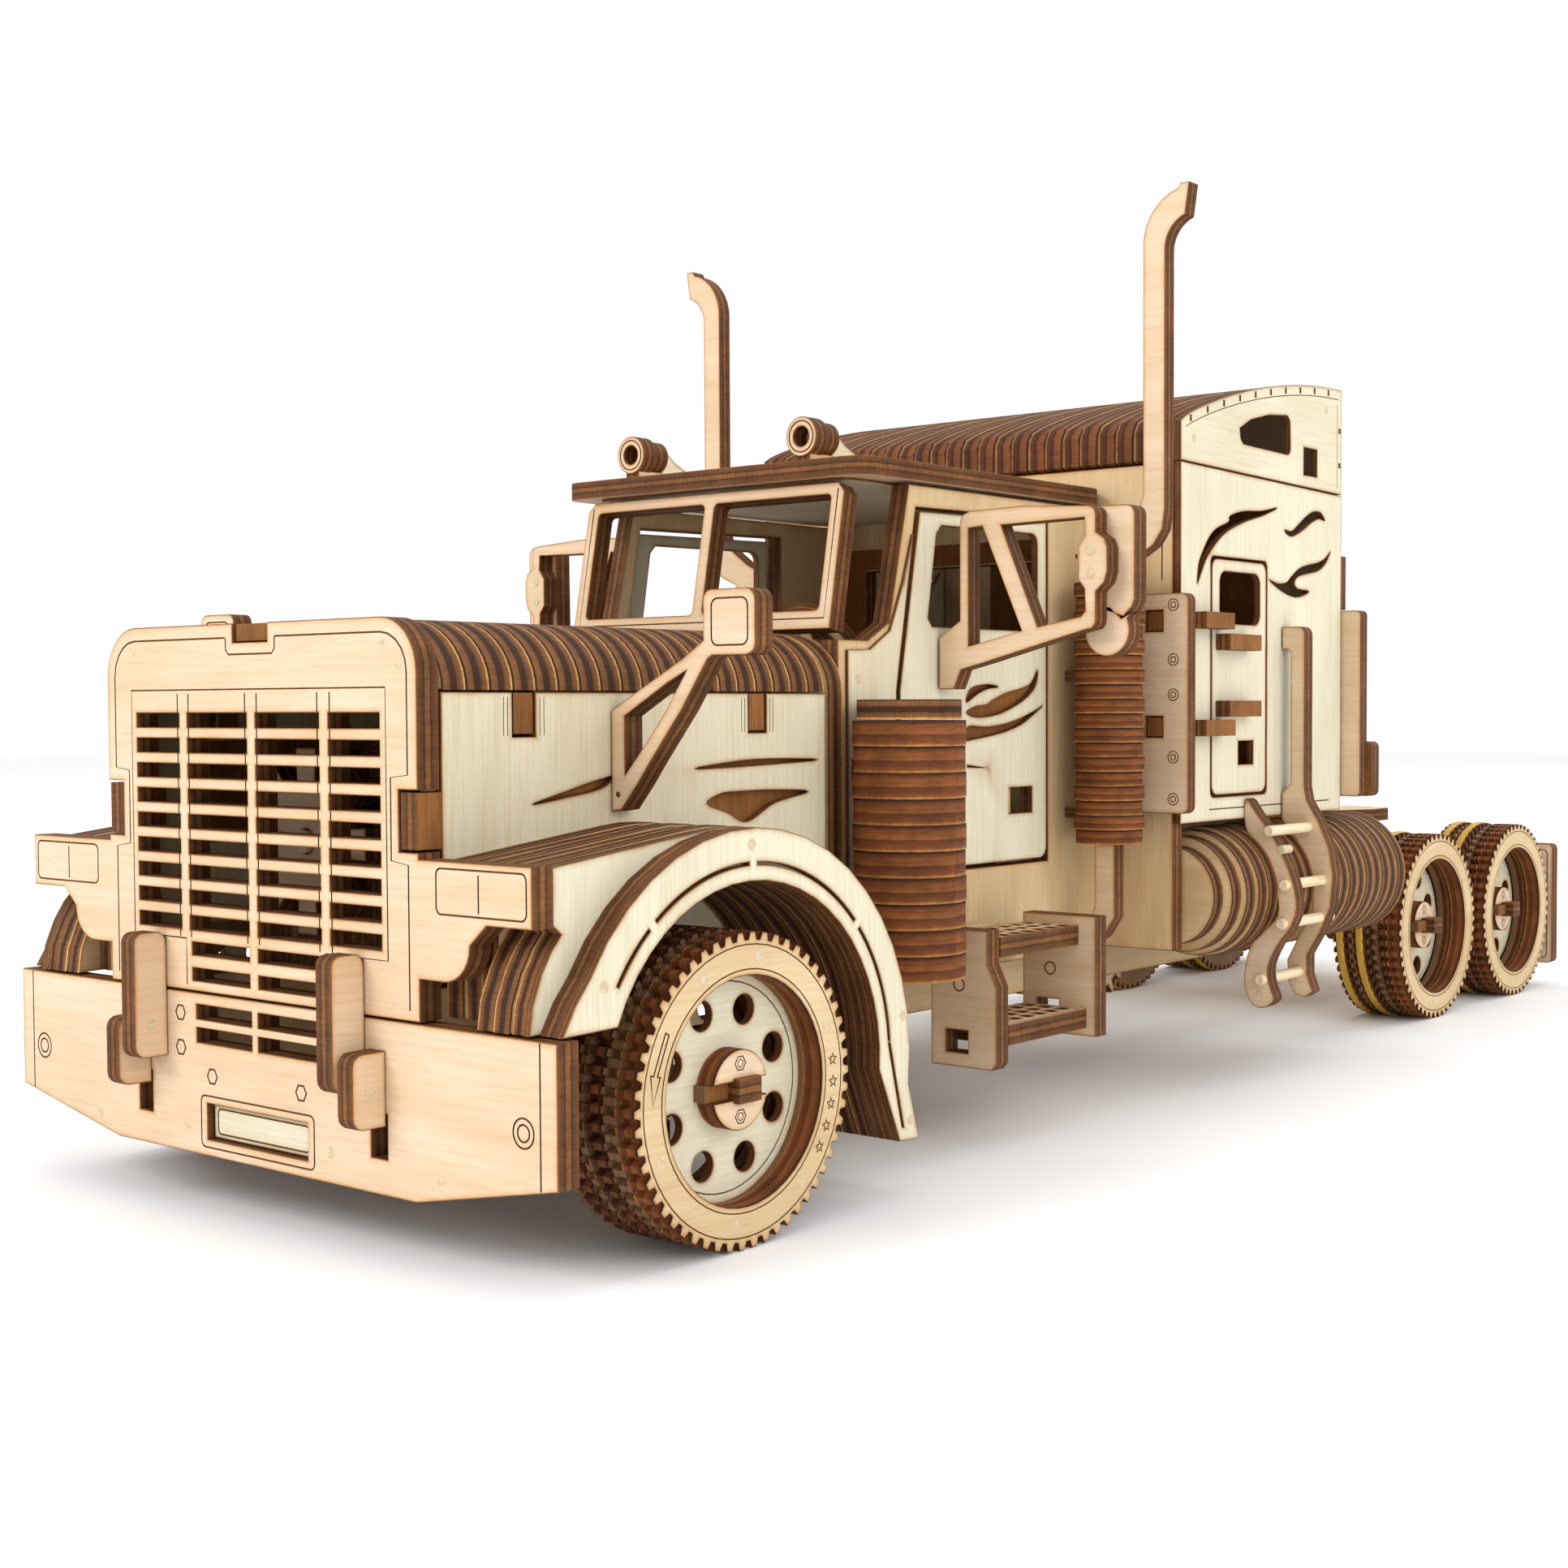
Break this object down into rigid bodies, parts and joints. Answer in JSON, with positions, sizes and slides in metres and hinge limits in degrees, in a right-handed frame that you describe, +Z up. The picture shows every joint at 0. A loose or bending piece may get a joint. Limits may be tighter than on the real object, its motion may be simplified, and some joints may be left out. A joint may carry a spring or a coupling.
{
  "type": "wooden 3d jigsaw model",
  "caption": "Plywood construction kit of a long-nose sleeper truck tractor, slotted together from flat cut sheets, with turning wheels, opening hood and doors.",
  "frame": {"origin": "bottom centre of the bounding box of the assembled truck", "axes": "+X to the truck's left side, -Y to its front, +Z up"},
  "size_m": [0.16, 0.409, 0.1835],
  "materials": {
    "ply": "bare sanded birch plywood with dark laser-cut edges",
    "thin_ply": "bare pale veneer sheet with fine grain",
    "edge_ply": "stacked plywood edges scorched brown by laser cutting"
  },
  "bodies": {
    "truck": {"front_panel": "ply", "bumper": "ply", "hood_side_left": "thin_ply", "hood_side_right": "thin_ply", "hood_mirror_left": "ply", "hood_mirror_right": "ply", "front_fender_left": "edge_ply", "front_fender_right": "edge_ply", "engine": "ply", "frame_rail_left": "ply", "frame_rail_right": "ply", "front_crossmember": "ply", "fifth_wheel_base": "ply", "rear_bar": "ply", "front_axle": "ply", "cab_floor": "ply", "cowl": "ply", "windshield_frame": "ply", "cab_side_left": "ply", "cab_side_right": "ply", "cab_roof": "ply", "horn_left": "ply", "horn_right": "ply", "seats": "ply", "sleeper_front": "ply", "sleeper_side_left": "thin_ply", "sleeper_side_right": "thin_ply", "sleeper_rear": "ply", "sleeper_roof": "edge_ply", "air_cleaner_left": "edge_ply", "air_cleaner_right": "edge_ply", "exhaust_left": "ply", "exhaust_right": "ply", "cab_step_left": "ply", "cab_step_right": "ply", "fuel_tank_left": "edge_ply", "fuel_tank_right": "edge_ply", "tank_step_left": "ply", "tank_step_right": "ply"},
    "hood": {"hood": "edge_ply"},
    "door_left": {"door_left": "thin_ply", "door_mirror_left": "ply"},
    "door_right": {"door_right": "thin_ply", "door_mirror_right": "ply"},
    "locker_left": {"locker_door_left": "thin_ply"},
    "locker_right": {"locker_door_right": "thin_ply"},
    "steering_wheel": {"steering_wheel": "ply"},
    "knuckle_left": {"steering_knuckle_left": "ply"},
    "knuckle_right": {"steering_knuckle_right": "ply"},
    "front_wheel_left": {"front_wheel_left": "ply"},
    "front_wheel_right": {"front_wheel_right": "ply"},
    "drive_axle_1": {"rear_axle_1": "ply", "dual_wheel_1_left": "ply", "dual_wheel_1_right": "ply"},
    "drive_axle_2": {"rear_axle_2": "ply", "dual_wheel_2_left": "ply", "dual_wheel_2_right": "ply"},
    "motor": {"motor_gear": "ply"},
    "idler": {"idler_gear": "ply"},
    "fifth_wheel": {"fifth_wheel": "ply"}
  },
  "joints": [
    {"name": "hood_hinge", "type": "hinge", "parent": "truck", "child": "hood", "pos_m": [0, -0.1077, 0.0943], "axis": [-1, 0, 0], "range_deg": [0, 60]},
    {"name": "door_left_hinge", "type": "hinge", "parent": "truck", "child": "door_left", "pos_m": [0.0384, -0.0852, 0.084], "axis": [0, 0, -1], "range_deg": [0, 60]},
    {"name": "door_right_hinge", "type": "hinge", "parent": "truck", "child": "door_right", "pos_m": [-0.0384, -0.0852, 0.084], "axis": [0, 0, 1], "range_deg": [0, 60]},
    {"name": "locker_left_hinge", "type": "hinge", "parent": "truck", "child": "locker_left", "pos_m": [0.057, -0.0015, 0.087], "axis": [0, 0, -1], "range_deg": [0, 70]},
    {"name": "locker_right_hinge", "type": "hinge", "parent": "truck", "child": "locker_right", "pos_m": [-0.057, -0.0015, 0.087], "axis": [0, 0, 1], "range_deg": [0, 70]},
    {"name": "steer_left", "type": "hinge", "parent": "truck", "child": "knuckle_left", "pos_m": [0.0465, -0.16, 0.0238], "axis": [0, 0, 1], "range_deg": [-14, 14]},
    {"name": "steer_right", "type": "hinge", "parent": "truck", "child": "knuckle_right", "pos_m": [-0.0465, -0.16, 0.0238], "axis": [0, 0, 1], "range_deg": [-14, 14]},
    {"name": "steering_wheel_turn", "type": "hinge", "parent": "truck", "child": "steering_wheel", "pos_m": [0.013, -0.0795, 0.0915], "axis": [0, 0.8192, 0.5736], "range_deg": [-90, 90]},
    {"name": "front_wheel_left_spin", "type": "hinge", "parent": "knuckle_left", "child": "front_wheel_left", "pos_m": [0.058, -0.16, 0.0238], "axis": [1, 0, 0], "continuous": true},
    {"name": "front_wheel_right_spin", "type": "hinge", "parent": "knuckle_right", "child": "front_wheel_right", "pos_m": [-0.058, -0.16, 0.0238], "axis": [1, 0, 0], "continuous": true},
    {"name": "drive_axle_1_spin", "type": "hinge", "parent": "truck", "child": "drive_axle_1", "pos_m": [0, 0.121, 0.0238], "axis": [1, 0, 0], "continuous": true},
    {"name": "drive_axle_2_spin", "type": "hinge", "parent": "truck", "child": "drive_axle_2", "pos_m": [0, 0.1745, 0.0238], "axis": [1, 0, 0], "continuous": true},
    {"name": "motor_spin", "type": "hinge", "parent": "truck", "child": "motor", "pos_m": [0, 0.0167, 0.029], "axis": [1, 0, 0], "continuous": true},
    {"name": "idler_spin", "type": "hinge", "parent": "truck", "child": "idler", "pos_m": [0, -0.00997, 0.029], "axis": [1, 0, 0], "continuous": true},
    {"name": "fifth_wheel_tilt", "type": "hinge", "parent": "truck", "child": "fifth_wheel", "pos_m": [0, 0.1475, 0.0464], "axis": [1, 0, 0], "range_deg": [-8, 8]}
  ],
  "couplings": [
    {"joint": "steer_right", "follows": "steer_left", "ratio": 1},
    {"joint": "steering_wheel_turn", "follows": "steer_left", "ratio": 3},
    {"joint": "drive_axle_2_spin", "follows": "drive_axle_1_spin", "ratio": 1},
    {"joint": "motor_spin", "follows": "idler_spin", "ratio": -0.66667}
  ]
}
